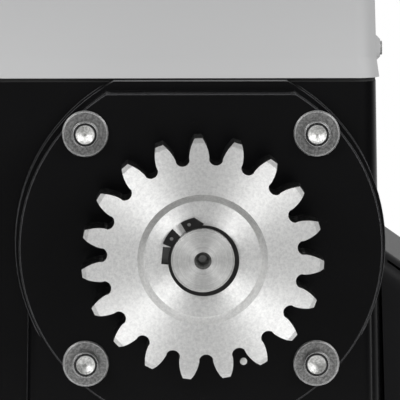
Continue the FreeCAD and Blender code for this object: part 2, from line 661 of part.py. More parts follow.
def make_clutch():
    sleeve = ring_y(SLEEVE_R, WHEEL_SEAT_R + RUN_FIT, SLEEVE_Y0, SLEEVE_Y1)
    dog = block(SHAFT_X + WHEEL_SEAT_R + 1.0, SHAFT_X + SLEEVE_R - GAP, SLEEVE_Y1 - OVERCUT,
                SLEEVE_Y1 + DOG_LENGTH, SHAFT_Z - DOG_W / 2, SHAFT_Z + DOG_W / 2)
    sleeve = fuse(sleeve, *[turned(dog, 360 * i / DOGS) for i in range(DOGS)])
    pin = cyl_x(CLUTCH_PIN_R, SHAFT_X - SLEEVE_R, SHAFT_X + SLEEVE_R, CLUTCH_PIN_Y, SHAFT_Z)
    rod = fuse(cyl_y(ROD_R, CLUTCH_PIN_Y - 2 * ROD_R + OVERCUT, ROD_END_Y),
               cyl_y(ROD_HEAD_R, ROD_END_Y - ROD_R, ROD_END_Y))
    save("clutch_sleeve", sleeve.cut(pin))
    save("clutch_pin", pin)
    save("release_rod", rod.cut(pin))


def make_clutch_spring():
    """The spring that presses the sleeve into the wheel's hub."""
    half = SPRING_WIRE / 2
    r = WHEEL_SEAT_R + EASE + half
    first_y = SPRING_Y + EASE + half
    lead = (SLEEVE_Y0 - half - first_y) / SPRING_TURNS
    outline = ((r - half, -half), (r + half, -half), (r + half, half), (r - half, half))

    def place(radius, angle, along):
        return vec(SHAFT_X + radius * math.cos(angle), first_y + along, SHAFT_Z + radius * math.sin(angle))

    save("clutch_spring", helix(outline, place, lead, 0, SPRING_TURNS))


# ---- worm shaft, rotor and fan -----------------------------------------------------------
def make_worm_shaft():
    r_low, r_up = LOWER_BEARING[0], UPPER_BEARING[0]
    shoulder = LOWER_BEARING_Z + LOWER_BEARING[2]
    shaft = lathe_z([
        (0, LOWER_BEARING_Z), (r_low, LOWER_BEARING_Z), (r_low, shoulder), (WORM_ROOT_R, shoulder),
        (WORM_ROOT_R, UPPER_BEARING_Z), (r_up, UPPER_BEARING_Z), (r_up, STATOR_Z + ROTOR_SHY),
        (ROTOR_SHAFT_R, STATOR_Z + ROTOR_SHY), (ROTOR_SHAFT_R, TOP_BEARING_Z), (r_low, TOP_BEARING_Z),
        (r_low, SHAFT_TOP_Z), (0, SHAFT_TOP_Z),
    ])
    sink = 0.2              # of the thread's foot into the shaft
    slope = math.tan(PRESSURE_ANGLE)
    half = LEAD / 4 - WORM_BACKLASH / 4
    root_half = half + slope * (WORM_PITCH_R - WORM_ROOT_R + sink)
    tip_half = half - slope * WORM_MODULE
    root_r = WORM_ROOT_R - sink
    outline = ((root_r, -root_half), (WORM_TIP_R, -tip_half), (WORM_TIP_R, tip_half), (root_r, root_half))

    def place(radius, angle, along):
        return vec(WORM_X + radius * math.cos(angle), WORM_Y + radius * math.sin(angle), SHAFT_Z + along)

    thread = helix(outline, place, LEAD, -WORM_TURNS_BELOW, WORM_TURNS_ABOVE)
    save("worm_shaft", shaft.fuse(thread))


def make_worm_bearings():
    for name, z, (r_in, r_out, width) in (("lower", LOWER_BEARING_Z, LOWER_BEARING),
                                          ("upper", UPPER_BEARING_Z, UPPER_BEARING),
                                          ("top", TOP_BEARING_Z, LOWER_BEARING)):
        save("worm_bearing_" + name, ring_z(r_out, r_in + RUN_FIT, z, z + width))


def make_rotor():
    save("rotor_core", ring_z(ROTOR_R, ROTOR_SHAFT_R, STATOR_Z + ROTOR_SHY, STATOR_TOP_Z - ROTOR_SHY))
    z0 = SHAFT_TOP_Z - FAN_H
    half = FAN_BLADE_T / 2
    blade = block(WORM_X + FAN_HUB_R - OVERCUT, WORM_X + FAN_R, WORM_Y - half, WORM_Y + half,
                  z0 + half, SHAFT_TOP_Z)
    blades = []
    for i in range(FAN_BLADES):
        copy = blade.copy()
        copy.rotate(vec(WORM_X, WORM_Y, 0), vec(0, 0, 1), 360 * i / FAN_BLADES)
        blades.append(copy)
    fan = fuse(cyl_z(FAN_HUB_R, z0, SHAFT_TOP_Z), cyl_z(FAN_R, z0, z0 + FAN_BLADE_T), *blades)
    save("rotor_fan", fan.cut(cyl_z(LOWER_BEARING[0], z0 - OVERCUT, SHAFT_TOP_Z + OVERCUT)))


# ---- motor -------------------------------------------------------------------------------
def motor_block(half, z0, z1):
    return rounded_block(WORM_X - half, WORM_X + half, WORM_Y - half, WORM_Y + half, z0, z1, MOTOR_CORNER_R)


def tie_places():
    return [(WORM_X + sx * TIE_PLACE, WORM_Y + sy * TIE_PLACE) for sx in (-1, 1) for sy in (-1, 1)]


def make_motor():
    coil_room_r = COIL_OUT_R + 2.0
    hub_r = LOWER_BEARING[1] + 4.5
    roof_z = MOTOR_TOP_Z - MOTOR_SKIN
    tie_foot_z = STATOR_Z - TIE_REACH
    stator = motor_block(MOTOR_HALF - 1.0, STATOR_Z, STATOR_TOP_Z)
    stator = stator.cut(cyl_z(ROTOR_R + ROTOR_GAP, STATOR_Z - OVERCUT, STATOR_TOP_Z + OVERCUT))
    base = cut_all(motor_block(MOTOR_HALF, DECK_Z, STATOR_Z), [
        cyl_z(coil_room_r, DECK_Z + MOTOR_SKIN, STATOR_Z + OVERCUT),
        cyl_z(ROTOR_SHAFT_R + 2.5, DECK_Z - OVERCUT, DECK_Z + MOTOR_SKIN + OVERCUT)])
    bell = motor_block(MOTOR_HALF, STATOR_TOP_Z, MOTOR_TOP_Z)
    bell = bell.cut(cyl_z(coil_room_r, STATOR_TOP_Z - OVERCUT, roof_z))
    bell = fuse(bell, cyl_z(hub_r, TOP_BEARING_Z - 2.0, roof_z + OVERCUT))
    bell = cut_all(bell, [
        cyl_z(LOWER_BEARING[1], TOP_BEARING_Z, TOP_BEARING_Z + LOWER_BEARING[2]),
        cyl_z(ROTOR_SHAFT_R + 1.5, TOP_BEARING_Z - 2.0 - OVERCUT, MOTOR_TOP_Z + OVERCUT)])
    screws = []
    for x, y in tie_places():
        stator = stator.cut(cyl_z(TIE_R + EASE, STATOR_Z - OVERCUT, STATOR_TOP_Z + OVERCUT, x, y))
        bell = bell.cut(cyl_z(TIE_R + EASE, STATOR_TOP_Z - OVERCUT, MOTOR_TOP_Z + OVERCUT, x, y))
        base = base.cut(cyl_z(TIE_R, tie_foot_z, STATOR_Z + OVERCUT, x, y))
        screws.append(fuse(cyl_z(TIE_R, tie_foot_z, MOTOR_TOP_Z, x, y),
                           cyl_z(2 * TIE_R, MOTOR_TOP_Z, MOTOR_TOP_Z + 3.0, x, y)))
    save("stator_core", stator)
    save("motor_base", base)
    save("motor_end_bell", bell)
    save("motor_screws", *screws)
    save("stator_windings", *[ring_z(COIL_OUT_R, COIL_IN_R, z0, z0 + COIL_H)
                              for z0 in (STATOR_Z - COIL_H, STATOR_TOP_Z)])


# ---- housing -----------------------------------------------------------------------------
def wall_x(z):
    """The body's side wall, which leans out downwards."""
    return BODY_W / 2 + (RIM_Z - z) * math.tan(DRAFT)


def make_drum():
    """The round pad that carries the output flange, and the pedestal under it."""
    drum = cyl_y(DRUM_R, DRUM_FACE_Y, BODY_BACK_Y + BODY_CORNER_R)
    x0, x1 = SHAFT_X - DRUM_R, SHAFT_X + DRUM_R
    high = SHAFT_Z + DRUM_R + OVERCUT
    drum = drum.cut(block(x0, x1, DRUM_FACE_Y - OVERCUT, 0, RIM_Z + DRUM_OVER_RIM, high))
    drum = drum.cut(block(x0, x1, BODY_BACK_Y, 0, RIM_Z, high))
    top_z = SHAFT_Z - PEDESTAL_BELOW_SHAFT
    half, low_half = PEDESTAL_HALF_W, PEDESTAL_HALF_W + top_z * math.tan(DRAFT)
    pedestal = prism_y([(SHAFT_X - low_half, 0), (SHAFT_X + low_half, 0), (SHAFT_X + half, top_z),
                        (SHAFT_X - half, top_z)], DRUM_FACE_Y, BODY_BACK_Y + BODY_CORNER_R)
    edges = [e for e in pedestal.Edges if e.BoundBox.YMax < DRUM_FACE_Y + 0.1 and e.BoundBox.ZLength > 1.0]
    return drum, pedestal.makeFillet(PEDESTAL_EDGE_R, edges)


def foot_slot(x, y):
    reach, r = (SLOT_LENGTH - SLOT_W) / 2, SLOT_W / 2
    z0, z1 = -OVERCUT, BASE_T + OVERCUT
    slot = block(x - reach, x + reach, y - r, y + r, z0, z1)
    return slot.multiFuse([cyl_z(r, z0, z1, x + side * reach, y) for side in (-1, 1)])


def make_housing():
    half_w, half_d = BODY_W / 2 - TONGUE_INSET, BODY_D / 2 - TONGUE_INSET
    inner_w, inner_d = half_w - TONGUE_T, half_d - TONGUE_T
    tongue_r = BODY_CORNER_R - TONGUE_INSET + 1.0
    over = RIM_Z + TAB_H + OVERCUT
    body = tapered_block(BODY_W / 2, BODY_D / 2, BODY_CORNER_R, 0, RIM_Z, DRAFT, RIM_Z)
    foot = rounded_block(-BASE_W / 2, BASE_W / 2, BASE_Y - BASE_D / 2, BASE_Y + BASE_D / 2, 0, BASE_T,
                         BASE_CORNER_R)
    boss = cyl_y(BOSS_R, BODY_FRONT_Y - BODY_CORNER_R, BOSS_Y)
    tongue = rounded_block(-half_w, half_w, -half_d, half_d, RIM_Z - OVERCUT, RIM_Z + TONGUE_H, tongue_r)
    tabs = [block(-half_w, half_w, y - TAB_HALF_W, y + TAB_HALF_W, RIM_Z, RIM_Z + TAB_H)
            for y in (-COVER_SCREW_Y, COVER_SCREW_Y)]
    shell = fuse(body, foot, *make_drum(), boss, tongue, *tabs)

    slot = COVER_SCREW_R + EASE
    front_end = FRONT_BEARING_Y + BEARING_W
    cuts = [
        rounded_block(-inner_w, inner_w, -inner_d, inner_d, DECK_Z, over, tongue_r),
        cyl_y(WHEEL_CHAMBER_R, DRUM_FACE_Y - OVERCUT, FRONT_BEARING_Y),
        cyl_y(BEARING_R, FRONT_BEARING_Y, front_end),
        cyl_y(BEARING_R - 4.0, FRONT_BEARING_Y, front_end + 3.0),
        cyl_y(RELEASE_BORE_R, front_end, BOSS_Y + OVERCUT),
        cyl_z(TUNNEL_R, LOWER_BEARING_Z + LOWER_BEARING[2], UPPER_BEARING_Z),
        cyl_z(LOWER_BEARING[1], LOWER_BEARING_Z, LOWER_BEARING_Z + LOWER_BEARING[2] + OVERCUT),
        cyl_z(UPPER_BEARING[1], UPPER_BEARING_Z, DECK_Z + OVERCUT),
        rounded_block(DUCT_X - DUCT_W / 2, DUCT_X + DUCT_W / 2, DUCT_Y - DUCT_W / 2, DUCT_Y + DUCT_W / 2,
                      -OVERCUT, DUCT_TOP_Z, DUCT_CORNER_R),
        cyl_z(CABLE_HOLE_R, DUCT_TOP_Z - OVERCUT, DECK_Z + OVERCUT, DUCT_X, DUCT_Y),
    ]
    for x in (-half_w, half_w):
        for y in (-COVER_SCREW_Y, COVER_SCREW_Y):
            cuts.append(block(x - 2 * TONGUE_T, x + 2 * TONGUE_T, y - slot, y + slot, COVER_SCREW_Z - slot, over))
    for x, z in flange_bolt_places():
        cuts.append(cyl_y(SCREW_R, DRUM_FACE_Y - OVERCUT, DRUM_FACE_Y + SCREW_REACH, x, z))
    for x in (-SLOT_DX / 2, SLOT_DX / 2):
        for y in (-SLOT_DY / 2, SLOT_DY / 2):
            cuts.append(foot_slot(x, y))
    save("housing", cut_all(shell, cuts).removeSplitter())


def make_grommet():
    flange_r = CABLE_HOLE_R + 3.0
    flange_z = DECK_Z + 3.0
    grommet = lathe_z([(CABLE_R, DUCT_TOP_Z), (CABLE_HOLE_R, DUCT_TOP_Z), (CABLE_HOLE_R, DECK_Z),
                       (flange_r, DECK_Z), (flange_r, flange_z), (CABLE_R, flange_z)], DUCT_X, DUCT_Y)
    save("cable_grommet", grommet)


def make_oil_plug():
    x = WORM_X + MOTOR_HALF + OIL_PLUG_R + 2.0
    y = BRACKET_Y - OIL_PLUG_R - 3.0
    r = OIL_PLUG_R - 1.0
    corners = [(x + r * math.cos(i * math.pi / 3), y + r * math.sin(i * math.pi / 3)) for i in range(6)]
    wire = Part.makePolygon([vec(cx, cy, DECK_Z) for cx, cy in corners + corners[:1]])
    head = Part.Face(wire).extrude(vec(0, 0, OIL_PLUG_H))
    save("oil_plug", fuse(head, cyl_z(OIL_PLUG_R, DECK_Z, DECK_Z + OIL_PLUG_H / 4, x, y)))


# ---- cover -------------------------------------------------------------------------------
def cover_half(z):
    """Half width and half depth of the cover's outside at height z."""
    lean = (z - COVER_Z) * math.tan(COVER_DRAFT)
    return BODY_W / 2 + COVER_PROUD - lean, BODY_D / 2 + COVER_PROUD - lean


def cover_block(inset, z0):
    """The cover's outside without its lip, shrunk by an inset."""
    half_w, half_d = cover_half(COVER_Z)
    roof_z = COVER_TOP_Z - PANEL_H - inset
    solid = tapered_block(half_w - inset, half_d - inset, BODY_CORNER_R + 1.0 - inset, z0, roof_z,
                          COVER_DRAFT, COVER_Z)
    return solid.makeFillet(COVER_EDGE_R - inset, [e for e in solid.Edges if e.BoundBox.ZMin > roof_z - 0.1])


def on_side(points, side, y, z):
    """A solid turned about a line along X; points are (radius, distance from the middle)."""
    wire = Part.makePolygon([vec(side * x, y, z + r) for r, x in points + points[:1]])
    return Part.Face(wire).revolve(vec(0, y, z), vec(1, 0, 0), 360)


def make_cover():
    lip_z = COVER_Z + COVER_LIP_H
    lip_w, lip_d = cover_half(lip_z)
    lip = tapered_block(lip_w, lip_d, BODY_CORNER_R + 1.0, COVER_Z, lip_z + COVER_LIP,
                        math.atan(COVER_LIP / COVER_LIP_H), lip_z)
    roof_z = COVER_TOP_Z - PANEL_H
    roof_w, roof_d = cover_half(roof_z)
    panel = tapered_block(roof_w - PANEL_INSET, roof_d - PANEL_INSET, PANEL_CORNER_R, roof_z - OVERCUT,
                          COVER_TOP_Z, math.radians(45), COVER_TOP_Z)
    wall, _ = cover_half(COVER_SCREW_Z)
    seat = wall + COVER_BOSS_PROUD
    r, edge = COVER_BOSS_R, COVER_BOSS_R / 5
    head_r, head_x = COVER_SCREW_R + GAP, seat + 0.7
    foot_x = seat - COVER_SCREW_REACH
    bosses, bores, screws = [], [], []
    for side in (-1, 1):
        for y in (-COVER_SCREW_Y, COVER_SCREW_Y):
            bosses.append(on_side([(0, wall - OVERCUT), (r + edge, wall - OVERCUT), (r + edge, wall + edge),
                                   (r, seat - edge), (r - edge, seat), (0, seat)], side, y, COVER_SCREW_Z))
            bores.append(on_side([(0, foot_x), (COVER_SCREW_R + 0.2, foot_x), (COVER_SCREW_R + 0.2, seat + 1),
                                  (0, seat + 1)], side, y, COVER_SCREW_Z))
            screws.append(on_side([(0, head_x), (head_r, head_x), (head_r, seat), (COVER_SCREW_R, seat),
                                   (COVER_SCREW_R, foot_x), (0, foot_x)], side, y, COVER_SCREW_Z))
    outside = fuse(cover_block(0, COVER_Z), lip, panel, *bosses)
    save("cover", cut_all(outside, [cover_block(COVER_WALL, COVER_Z - OVERCUT), *bores]))
    save("cover_screws", *screws)


def make_gasket():
    half_w, half_d = BODY_W / 2 - 0.2, BODY_D / 2 - 0.2
    in_w, in_d = half_w - GASKET_W, half_d - GASKET_W
    outer = rounded_block(-half_w, half_w, -half_d, half_d, RIM_Z, COVER_Z, BODY_CORNER_R)
    inner = rounded_block(-in_w, in_w, -in_d, in_d, RIM_Z - OVERCUT, COVER_Z + OVERCUT,
                          BODY_CORNER_R - GASKET_W)
    save("cover_gasket", outer.cut(inner))


# ---- side covers -------------------------------------------------------------------------
def side_profile(inset, inner_x, bottom, y):
    """The end view of a right-hand side cover, shrunk by an inset at its outer side and top."""
    x_out = BODY_W / 2 + SIDE_OUT - inset
    top = SIDE_TOP_Z - inset
    r = SIDE_SHOULDER_R - inset
    flat_x = wall_x(BASE_T) + 2.0
    slope_x = x_out - r * (1 - math.sin(SIDE_SLOPE))
    slope_z = top - (slope_x - flat_x) * math.tan(SIDE_SLOPE)
    centre_z = slope_z - r * math.cos(SIDE_SLOPE)
    middle = math.pi / 4 - SIDE_SLOPE / 2
    arc = [vec(slope_x, y, slope_z),
           vec(x_out - r + r * math.cos(middle), y, centre_z + r * math.sin(middle)),
           vec(x_out, y, centre_z)]
    points = [arc[2], vec(x_out, y, bottom), vec(inner_x, y, bottom), vec(inner_x, y, top),
              vec(flat_x, y, top), arc[0]]
    edges = [Part.makeLine(a, b) for a, b in zip(points, points[1:])]
    return Part.Wire(edges + [Part.Arc(*arc).toShape()])


def side_groove(x, y):
    """The wedge taken off a side cover's pinion end, next to the body."""
    high = SIDE_TOP_Z + OVERCUT
    return prism_y([(0, 0), (x + SIDE_GROOVE, 0), (x, high), (0, high)], SIDE_Y0 - OVERCUT, y)


def make_side_covers():
    x_in = wall_x(BASE_T) + EASE
    bottom = BASE_T + EASE
    outer = Part.Face(side_profile(0, x_in, bottom, SIDE_Y0)).extrude(vec(0, SIDE_Y1 - SIDE_Y0, 0))
    rim = [e for e in outer.Edges if e.BoundBox.YLength < 1e-6 and e.BoundBox.XMax > x_in + 3
           and e.BoundBox.ZMax > bottom + 5]
    outer = outer.makeFillet(SIDE_EDGE_R, rim)
    inner_y = SIDE_Y0 + SIDE_WALL
    inner = Part.Face(side_profile(SIDE_WALL, x_in - OVERCUT, bottom - OVERCUT, inner_y))
    inner = inner.extrude(vec(0, SIDE_Y1 - SIDE_WALL - inner_y, 0))
    y = SIDE_Y0 + SIDE_GROOVE_DEPTH
    outer = outer.cut(side_groove(x_in, y))
    inner = inner.cut(side_groove(x_in + SIDE_WALL, y + SIDE_WALL))
    right = outer.cut(inner)
    save("side_cover_right", right)
    save("side_cover_left", right.mirror(vec(0, 0, 0), vec(1, 0, 0)))


# ---- manual release ----------------------------------------------------------------------
def make_release():
    top_y = BOSS_Y + BEZEL_H
    lip_y = top_y - 2.0
    run_r = KNOB_FLANGE_R + EASE
    bezel = lathe_y([(run_r, BOSS_Y), (BOSS_R, BOSS_Y), (BOSS_R, top_y - 1.5), (BOSS_R - 1.5, top_y),
                     (KNOB_FLANGE_R - 2.5, top_y), (KNOB_FLANGE_R - 2.5, lip_y), (run_r, lip_y)])
    save("release_bezel", bezel)
    half, end_r = GRIP_HALF_LENGTH, GRIP_W / 2
    grip_y0 = BOSS_Y + 2.0
    grip = fuse(block(SHAFT_X - half + end_r, SHAFT_X + half - end_r, grip_y0, GRIP_Y, SHAFT_Z - end_r,
                      SHAFT_Z + end_r),
                *[cyl_y(end_r, grip_y0, GRIP_Y, SHAFT_X + side * (half - end_r)) for side in (-1, 1)])
    grip = grip.makeFillet(GRIP_EDGE_R, [e for e in grip.Edges if e.BoundBox.YMin > GRIP_Y - 0.1])
    knob = fuse(cyl_y(RELEASE_BORE_R - RUN_FIT, HUB_END_Y, BOSS_Y + OVERCUT),
                cyl_y(KNOB_FLANGE_R, BOSS_Y + EASE, lip_y - EASE), grip)
    lock_y = BOSS_Y - LOCK_DEPTH
    knob = cut_all(knob, [cyl_y(LOCK_R + RUN_FIT, lock_y, GRIP_Y + OVERCUT),
                          cyl_y(CAP_PIN_R + RUN_FIT, GRIP_Y - CAP_PIN_L, GRIP_Y + OVERCUT, CAP_PIVOT_X)])
    save("release_knob", knob)
    keyway = block(SHAFT_X - 1.0, SHAFT_X + 1.0, GRIP_Y - LOCK_DEPTH, GRIP_Y, SHAFT_Z - LOCK_R / 2,
                   SHAFT_Z + LOCK_R / 2)
    save("lock_cylinder", cyl_y(LOCK_R, lock_y, GRIP_Y - 0.6).cut(keyway))
    y0, y1 = GRIP_Y + EASE, GRIP_Y + EASE + CAP_T
    cap = fuse(cyl_y(LOCK_R + 1.0, y0, y1), cyl_y(LOCK_R / 2, y0, y1, CAP_PIVOT_X),
               block(SHAFT_X, CAP_PIVOT_X, y0, y1, SHAFT_Z - LOCK_R / 2, SHAFT_Z + LOCK_R / 2),
               cyl_y(CAP_PIN_R, GRIP_Y - CAP_PIN_L, y0, CAP_PIVOT_X))
    save("lock_cap", cap)
    save("release_pusher", cyl_y(PUSHER_R, ROD_END_Y + EASE, HUB_END_Y - EASE))


# ---- electronics in the bay --------------------------------------------------------------
def board_corners():
    inset = 6.0
    return [(x, z) for x in (BOARD_X[0] + inset, BOARD_X[1] - inset)
            for z in (BOARD_Z[0] + inset, BOARD_Z[1] - inset)]


def terminal_row(first_x, poles):
    z0, p = BOARD_Z[0], TERMINAL_PITCH
    row = block(first_x, first_x + poles * p, PARTS_Y, PARTS_Y + 12.0, z0 + 2.0, z0 + 13.0)
    for i in range(poles):
        x = first_x + (i + 0.5) * p
        row = row.cut(block(x - p / 3, x + p / 3, PARTS_Y + 2.0, PARTS_Y + 6.0, z0 + OVERCUT, z0 + 7.0))
        row = row.cut(block(x - p / 3, x + p / 3, PARTS_Y + 8.0, PARTS_Y + 13.0, z0 + 5.5, z0 + 9.0))
    return row


def make_board():
    x0, x1 = BOARD_X
    z0, z1 = BOARD_Z
    back, front = BRACKET_Y, BRACKET_Y + BRACKET_T
    sheet = block(x0, x1, back, front, DECK_Z + LEG_H, z1)
    for x in (x0 + 20.0, x1 - 60.0):
        sheet = sheet.cut(block(x, x + 40.0, back - OVERCUT, front + OVERCUT, z0 + 14.0, z1 - 14.0))
    feet = []
    for x in (x0 + 32.0, x1 - 20.0):
        feet.append(block(x, x + LEG_W, back, front, DECK_Z, DECK_Z + LEG_H + OVERCUT))
        feet.append(block(x, x + LEG_W, back, back + LEG_W, DECK_Z, DECK_Z + BRACKET_T))
    posts = [cyl_y(3.0, front - OVERCUT, BOARD_Y, x, z) for x, z in board_corners()]
    save("board_bracket", fuse(sheet, *feet, *posts))
    save("control_board", block(x0, x1, BOARD_Y, PARTS_Y, z0, z1))
    save("board_screws", *[cyl_y(2.8, PARTS_Y, PARTS_Y + 2.0, x, z) for x, z in board_corners()])
    save("terminal_blocks", terminal_row(x0 + 12.0, 8), terminal_row(x1 - 66.0, 10))
    save("relays", *[block(x0 + dx, x0 + dx + 19.0, PARTS_Y, PARTS_Y + 15.0, z0 + 22.0, z0 + 38.0)
                     for dx in (14.0, 38.0, 62.0)])
    fuse_x = x1 - 44.0
    save("fuse_holder", fuse(block(fuse_x, fuse_x + 28.0, PARTS_Y, PARTS_Y + 5.0, z0 + 22.0, z0 + 32.0),
                             cyl_x(3.2, fuse_x + 2.0, fuse_x + 26.0, PARTS_Y + 7.0, z0 + 27.0)))
    save("display", block(x0 + 52.0, x0 + 82.0, PARTS_Y, PARTS_Y + 7.0, z0 + 60.0, z0 + 76.0))


def make_controls():
    """The button and the dial on the board, each in its own base."""
    bx, bz = BUTTON_PLACE
    base = block(bx - 3.0, bx + 3.0, PARTS_Y, PARTS_Y + 4.0, bz - 3.0, bz + 3.0)
    save("button_base", base.cut(cyl_y(BUTTON_R + RUN_FIT, PARTS_Y + 1.0, PARTS_Y + 5.0, bx, bz)))
    save("learn_button", cyl_y(BUTTON_R, PARTS_Y + 2.0, PARTS_Y + 8.0, bx, bz))
    dx, dz = DIAL_PLACE
    base = block(dx - 5.0, dx + 5.0, PARTS_Y, PARTS_Y + 5.0, dz - 5.0, dz + 5.0)
    save("dial_base", base.cut(cyl_y(DIAL_R + RUN_FIT, PARTS_Y + 2.0, PARTS_Y + 6.0, dx, dz)))
    slot = block(dx - 0.5, dx + 0.5, PARTS_Y + 7.0, PARTS_Y + 9.0, dz - 4.0, dz + 4.0)
    save("force_dial", cyl_y(DIAL_R, PARTS_Y + 2.0, PARTS_Y + 8.0, dx, dz).cut(slot))


def make_power_parts():
    width, depth, height = TRANSFORMER
    x1 = BODY_W / 2 - TRANSFORMER_INSET[0]
    x0 = x1 - width
    y0 = BODY_BACK_Y + TRANSFORMER_INSET[1]
    y1 = y0 + depth
    t = CORE_LEG
    low, high = DECK_Z + t, DECK_Z + height - t
    core = block(x0, x1, y0, y1, DECK_Z, DECK_Z + height)
    leg = block(x0 + 2 * t, x1 - 2 * t, y0, y1, low, high)
    core = fuse(core.cut(block(x0 + t, x1 - t, y0 - OVERCUT, y1 + OVERCUT, low, high)), leg)
    save("transformer_core", core)
    coil = block(x0 + t + GAP, x1 - t - GAP, y0 - 6.0, y1 + 6.0, low + GAP, high - GAP)
    save("transformer_coil", coil.cut(leg))
    cx, cy = x1 - 24.0, y1 + 32.0
    foot_z = DECK_Z + 2.0
    save("capacitor", cyl_z(CAPACITOR_R, foot_z, foot_z + CAPACITOR_H, cx, cy))
    holder = cyl_z(CAPACITOR_R + 2.0, DECK_Z, DECK_Z + LEG_H, cx, cy)
    save("capacitor_holder", holder.cut(cyl_z(CAPACITOR_R, foot_z, DECK_Z + LEG_H + OVERCUT, cx, cy)))
    sensor_y = BODY_BACK_Y + 8.5
    sx = SHAFT_X + 10.5
    save("limit_sensor", fuse(
        block(sx - 16.0, sx + 16.0, sensor_y, sensor_y + 6.0, DECK_Z + 10.0, DECK_Z + 30.0),
        block(sx - 8.0, sx + 8.0, sensor_y, sensor_y + 2.0, DECK_Z, DECK_Z + 12.0)))


def main():
    os.makedirs("parts", exist_ok=True)
    make_pinion()
    make_circlip()
    make_output_shaft()
    make_drive_key()
    make_spacer()
    make_output_flange()
    make_output_seal()
    make_flange_dowel()
    make_flange_fasteners()
    make_output_bearings()
    make_worm_wheel()
    make_wheel_hub()
    make_clutch()
    make_clutch_spring()
    make_worm_shaft()
    make_worm_bearings()
    make_rotor()
    make_motor()
    make_housing()
    make_grommet()
    make_oil_plug()
    make_cover()
    make_gasket()
    make_side_covers()
    make_release()
    make_board()
    make_controls()
    make_power_parts()


main()
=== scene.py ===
import math

import bmesh
import bpy
from mathutils import Matrix, Vector


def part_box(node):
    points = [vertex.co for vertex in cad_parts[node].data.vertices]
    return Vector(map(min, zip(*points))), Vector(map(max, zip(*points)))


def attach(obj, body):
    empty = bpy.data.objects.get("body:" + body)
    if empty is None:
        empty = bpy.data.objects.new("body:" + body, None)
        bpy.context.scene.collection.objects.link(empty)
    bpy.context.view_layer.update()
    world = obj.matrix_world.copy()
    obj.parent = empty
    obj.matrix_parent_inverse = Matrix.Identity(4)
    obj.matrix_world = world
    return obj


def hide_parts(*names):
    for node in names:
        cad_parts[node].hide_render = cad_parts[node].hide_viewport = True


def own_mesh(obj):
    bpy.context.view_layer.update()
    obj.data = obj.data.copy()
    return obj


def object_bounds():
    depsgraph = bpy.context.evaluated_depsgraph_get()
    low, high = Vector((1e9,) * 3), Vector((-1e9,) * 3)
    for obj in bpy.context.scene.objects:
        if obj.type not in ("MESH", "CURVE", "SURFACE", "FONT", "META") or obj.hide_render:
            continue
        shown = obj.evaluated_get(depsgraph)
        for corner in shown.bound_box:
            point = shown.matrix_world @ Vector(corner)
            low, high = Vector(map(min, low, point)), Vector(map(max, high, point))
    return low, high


# The looks of a sliding gate motor: a black cast gearbox with a turned steel pinion on
# a bolted flange, and a light grey plastic cover over the motor and its board. Metres.
# X runs right when the pinion is faced, Y from the pinion side to the back, Z is up.

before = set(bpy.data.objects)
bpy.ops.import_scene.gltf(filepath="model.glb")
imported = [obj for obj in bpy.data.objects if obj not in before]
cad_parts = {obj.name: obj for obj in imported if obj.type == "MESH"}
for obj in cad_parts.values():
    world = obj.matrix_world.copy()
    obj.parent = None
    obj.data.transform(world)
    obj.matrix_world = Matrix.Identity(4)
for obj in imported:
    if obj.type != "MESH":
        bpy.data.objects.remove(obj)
cad_low, cad_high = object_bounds()

# ---- camera ------------------------------------------------------------------------------
CAMERA_AZIMUTH = math.radians(-1.0)     # to the left of the shaft's own line
CAMERA_ELEVATION = math.radians(6.1)
CAMERA_DISTANCE = 1.765                 # from the pinion's outer face
PIXEL_AT_PINION = 0.0003452             # one of the picture's 400 columns, on that face
AIM_RIGHT = -0.00096                    # from the pinion's centre to the view's middle
AIM_UP = 0.02067
SENSOR = 36.0
PICTURE = 400

# ---- cover -------------------------------------------------------------------------------
COVER_CURVE_TOP = 0.195                 # height at which its walls begin to curve out
COVER_CURVE = 80.0                      # how fast they do, per square metre
COVER_LIP_TOP = 0.1554                  # below this the CAD wall flares in one flat step,
COVER_LIP_SLOPE = 0.143                 # which the curve takes the place of

# ---- small parts -------------------------------------------------------------------------
RIM_LINE = 0.1462                       # above this the housing's edges lie under the cover
FLANK_ROUGH = 0.50                      # of turned parts' rims and teeth
WASHER_RADIUS = 0.0081
HEAD_RADIUS = 0.0044                    # the darkened part of a flange screw's head
SOCKET_RADIUS = 0.0031                  # and its socket, whose floor is painted bright as a highlight
ZONE_BLUR = 0.0002                      # over which one of those turns into the next
DOT_RADIUS = 0.0013                     # white pin in the flange
DOT_PROUD = 0.0004
DOT_DROP = 0.0007                       # below its place in the CAD frame

SPRING_WIRE = 0.0018
SPRING_TURNS = 2.6
SPRING_STEPS = 104
SPRING_SIDES = 10

# ---- light -------------------------------------------------------------------------------
AMBIENT = 0.30                          # of the room's light, level with the object
AMBIENT_RISE = 0.16                     # more from straight overhead, less from below
ROOM_FRONT = 0.52                       # how bright the room looks in gloss: behind the camera,
ROOM_SIDE = 0.15                        # and at the sides and overhead; the backdrop is white
LAMP_AZIMUTH = math.radians(52.0)       # to either side of the pinion's own direction
LAMP_ELEVATION = math.radians(33.0)
LAMP_DISTANCE = 1.5
LAMP_SIZE = 0.45
LAMP_LEFT = 0.67                        # share of full white on a card facing the lamp
LAMP_RIGHT = 0.70
FLOOR_RADIUS = 0.46
FLOOR_FADE = 0.20                       # where the floor starts to melt into the white


def corner_middle(node):
    low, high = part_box(node)
    return (low + high) / 2


